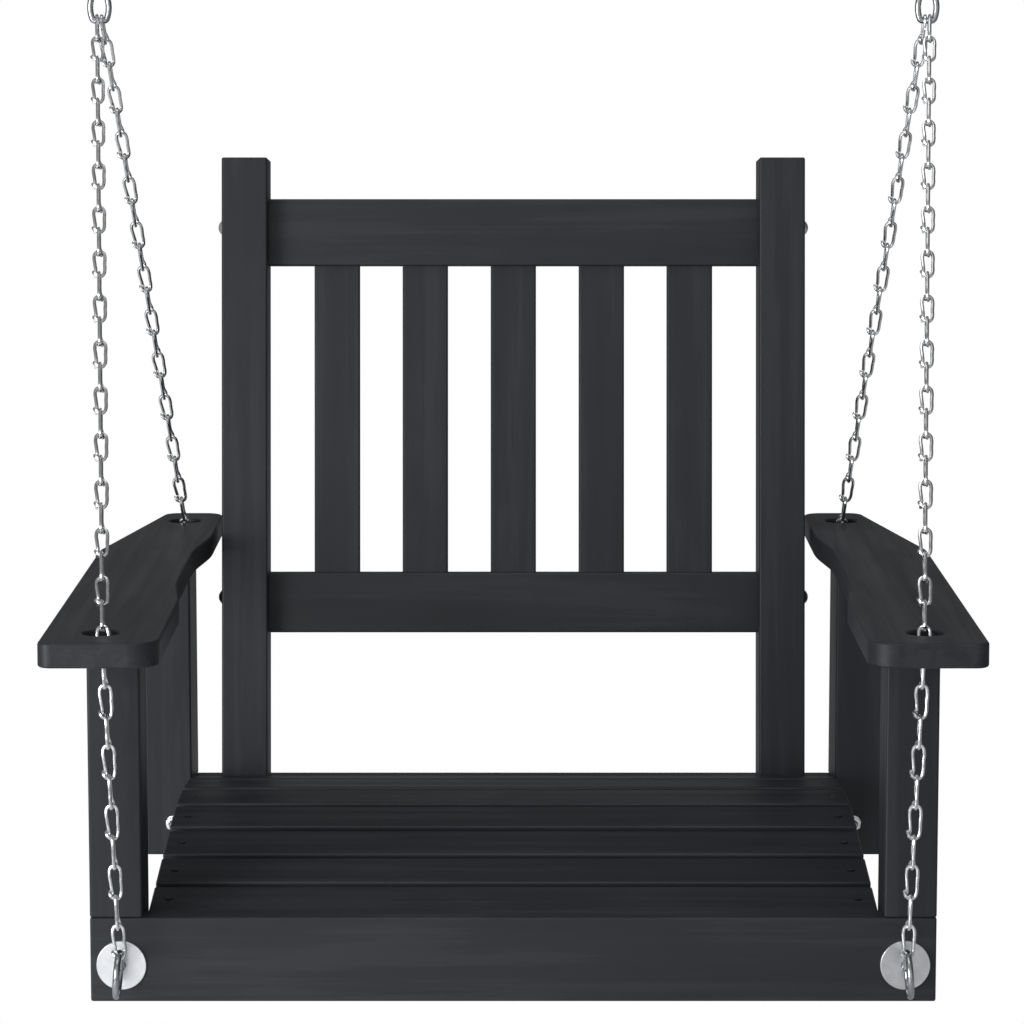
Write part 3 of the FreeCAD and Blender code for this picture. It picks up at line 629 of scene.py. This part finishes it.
# A nut with both hexagon faces turned back to a cone, and a plain round bore eased at both mouths.
def nutShape():
    half, across = hexNut["height"] / 2, hexNut["across"]
    corner = across / math.sqrt(3)
    drop = math.tan(math.radians(hexNut["chamfer"]))
    sides = hexNut["sides"]
    work = bmesh.new()

    def hexRadius(angle):
        part = (angle + math.radians(30)) % math.radians(60) - math.radians(30)
        return across / 2 / math.cos(part)

    def ring(radiusAt, heightAt):
        row = []
        for i in range(sides):
            angle = 2 * math.pi * i / sides
            r = radiusAt(angle)
            row.append(work.verts.new((r * mm * math.cos(angle), r * mm * math.sin(angle), heightAt(r) * mm)))
        return row

    face = across / 2 * hexNut["flatShare"]

    def edge(r):
        return half - max(0, r - face) * drop

    bore, mouth, ease = hexNut["bore"], hexNut["bore"] + hexNut["mouth"], hexNut["mouthDepth"]
    rows = [ring(lambda a: bore, lambda r: -half + ease), ring(lambda a: mouth, lambda r: -half),
            ring(lambda a: face, lambda r: -half), ring(hexRadius, lambda r: -edge(r)),
            ring(hexRadius, edge), ring(lambda a: face, lambda r: half),
            ring(lambda a: mouth, lambda r: half), ring(lambda a: bore, lambda r: half - ease)]
    for lower, upper in zip(rows, rows[1:] + rows[:1]):
        for i in range(sides):
            j = (i + 1) % sides
            work.faces.new((lower[i], lower[j], upper[j], upper[i]))
    bmesh.ops.recalc_face_normals(work, faces=work.faces)
    mesh = bpy.data.meshes.new("nutShape")
    work.to_mesh(mesh)
    work.free()
    return newObject("nutShape", mesh)


# A countersunk wood screw with a cross recess, its head level with Z = 0.
def screwShape():
    s = slatScrew
    work = bmesh.new()
    sides, foot = s["sides"], -s["length"]
    slope = s["head"] - s["shank"]
    under = turnedRings(work, [(0, foot), (s["shank"] * 0.3, foot + 1.2), (s["shank"], foot + s["point"]),
                               (s["shank"], -slope - 0.3), (s["head"], -s["rim"]), (s["head"] - 0.2, 0.0)], sides)
    rim = under[-1]
    # The cross: twelve corners joined to the rim, walls going down to a smaller cross.
    w, r, deep = s["recessWidth"], s["recess"], s["recessDepth"]
    cross = [(r, -w), (r, w), (w, w), (w, r), (-w, r), (-w, w),
             (-r, w), (-r, -w), (-w, -w), (-w, -r), (w, -r), (w, -w)]
    upper = [work.verts.new((x * mm, y * mm, 0)) for x, y in cross]
    narrow = s["recessTaper"] * mm
    lower = [work.verts.new((x * narrow, y * narrow, -deep * mm)) for x, y in cross]
    for i in range(12):
        j = (i + 1) % 12
        work.faces.new((upper[i], upper[j], lower[j], lower[i]))
    work.faces.new(lower)
    rimEdges = [work.edges.get((rim[i], rim[(i + 1) % sides])) for i in range(sides)]
    crossEdges = [work.edges.get((upper[i], upper[(i + 1) % 12])) for i in range(12)]
    bmesh.ops.triangle_fill(work, use_beauty=True, edges=rimEdges + crossEdges)
    bmesh.ops.recalc_face_normals(work, faces=work.faces)
    mesh = bpy.data.meshes.new("screwShape")
    work.to_mesh(mesh)
    work.free()
    return newObject("screwShape", mesh)


def placeHardware(name, shape, places, finish, replaced):
    piece = grown(pointsMesh(name, places), hardwareTree, hardwareIds, {"shape": shape, "finish": finish})
    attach(piece, "swing")
    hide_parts(replaced)
    print(name, len(places), "placed", len(piece.data.polygons), "faces")
    return piece


nut = nutShape()
for node, sideways, forward, upward in (("eye_nuts", (1, 0, 0), (0, 0, -1), (0, 1, 0)),
                                        ("seat_bolt_nuts", (0, 1, 0), (0, 0, 1), (1, 0, 0))):
    turn = turnOf(Vector(sideways), Vector(forward), Vector(upward))
    places = [(ownAxes(corners)[0], turn, (1, 1, 1)) for corners in solidsOf(node)]
    placeHardware(node + "_chamfered", nut, places, hardwareZinc, node)
bpy.data.objects.remove(nut)

screw = screwShape()
places = []
for number, corners in enumerate(solidsOf("slat_screws")):
    _, (_, _, along) = ownAxes(corners)
    if along.z < 0:
        along.negate()
    heights = corners @ np.array(along)
    rim = corners[heights > heights.max() - 0.02 * mm]
    head = Vector(rim.mean(axis=0))
    spin = math.radians(slatScrew["turnEach"] * number % 90)
    sideways = Vector((math.cos(spin), math.sin(spin), 0))
    sideways = (sideways - along * sideways.dot(along)).normalized()
    places.append((head, turnOf(sideways, along.cross(sideways), along), (1, 1, 1)))
placeHardware("slat_screws_cross_head", screw, places, screwBlack, "slat_screws")
bpy.data.objects.remove(screw)

# Floor, light and camera. Lamps are placed in metres, in the frame of the swing.
studio = {
    "floorBelowSeat": 0.45, "floorSize": 14.0,
    "key": {"place": (-1.35, -1.45, -0.3), "aim": (-0.2, -0.06, -0.42), "size": 1.0, "power": 19.0},
    "bounce": {"place": (-0.72, -2.15, -0.6), "aim": (-0.72, -2.15, -1.1), "size": 0.5, "power": 9.0},
    "top": {"place": (-0.3, -0.6, 2.4), "aim": (0.0, -0.06, -0.42), "size": 2.2, "power": 19.0},
    "around": 0.17, "fromLeft": 0.09, "fromFront": 0.60,
}

floorMesh = bpy.data.meshes.new("floor")
half, level = studio["floorSize"] / 2, cadLow.z - studio["floorBelowSeat"]
corners = [(-half, -half, level), (half, -half, level), (half, half, level), (-half, half, level)]
floorMesh.from_pydata(corners, [], [(0, 1, 2, 3)])
floor = newObject("floor", floorMesh)
pale, tree = newMaterial("mattWhiteFloor")
bright = addNode(tree, "ShaderNodeEmission", {"Color": (1, 1, 1, 1), "Strength": 1.0}).outputs["Emission"]
matt = addNode(tree, "ShaderNodeBsdfDiffuse", {"Color": colour("#e9eaec")}).outputs["BSDF"]
seenByEye = addNode(tree, "ShaderNodeLightPath").outputs["Is Camera Ray"]
mixed = addNode(tree, "ShaderNodeMixShader", {0: seenByEye, 1: matt, 2: bright}).outputs["Shader"]
addNode(tree, "ShaderNodeOutputMaterial", {"Surface": mixed})
floorMesh.materials.append(pale)

world = bpy.data.worlds.new("studio")
bpy.context.scene.world = world
world.use_nodes = True
tree = world.node_tree
tree.nodes.clear()
direction = addNode(tree, "ShaderNodeTexCoord").outputs["Generated"]
axes = addNode(tree, "ShaderNodeSeparateXYZ", {"Vector": direction}).outputs
ahead = addNode(tree, "ShaderNodeMath", {0: axes["Y"], 1: -1.0}, operation="MULTIPLY", use_clamp=True).outputs[0]
ahead = addNode(tree, "ShaderNodeMath", {0: ahead, 1: 2.0}, operation="POWER").outputs[0]
level = addNode(tree, "ShaderNodeMath", {0: ahead, 1: studio["fromFront"], 2: studio["around"]},
                operation="MULTIPLY_ADD").outputs[0]
level = addNode(tree, "ShaderNodeMath", {0: axes["X"], 1: -studio["fromLeft"], 2: level},
                operation="MULTIPLY_ADD").outputs[0]
soft = addNode(tree, "ShaderNodeBackground", {"Color": (1, 1, 1, 1), "Strength": level}).outputs["Background"]
white = addNode(tree, "ShaderNodeBackground", {"Color": (1, 1, 1, 1), "Strength": 1.0}).outputs["Background"]
seenByEye = addNode(tree, "ShaderNodeLightPath").outputs["Is Camera Ray"]
mixed = addNode(tree, "ShaderNodeMixShader", {0: seenByEye, 1: soft, 2: white}).outputs["Shader"]
addNode(tree, "ShaderNodeOutputWorld", {"Surface": mixed})

for name in ("key", "bounce", "top"):
    lamp = bpy.data.lights.new(name, "AREA")
    lamp.shape = "DISK"
    lamp.size = studio[name]["size"]
    lamp.energy = studio[name]["power"]
    stand = bpy.data.objects.new(name, lamp)
    bpy.context.collection.objects.link(stand)
    stand.location = studio[name]["place"]
    towards = Vector(studio[name]["aim"]) - stand.location
    stand.rotation_euler = towards.to_track_quat("-Z", "Y").to_euler()

view = {"place": (0.0, -2.950, 0.0656), "pitch": 7.396, "lens": 139.34, "shiftX": -0.0013, "shiftY": -0.10}
camera = bpy.data.objects.new("camera", bpy.data.cameras.new("camera"))
bpy.context.collection.objects.link(camera)
camera.location = view["place"]
camera.rotation_euler = (quarter - math.radians(view["pitch"]), 0, 0)
camera.data.lens = view["lens"]
camera.data.sensor_width = 36.0
camera.data.shift_x = view["shiftX"]
camera.data.shift_y = view["shiftY"]
camera.data.clip_end = 60.0
camera.data.dof.use_dof = False
bpy.context.scene.camera = camera
bpy.context.scene.view_settings.view_transform = "Standard"
print("studio and camera set")
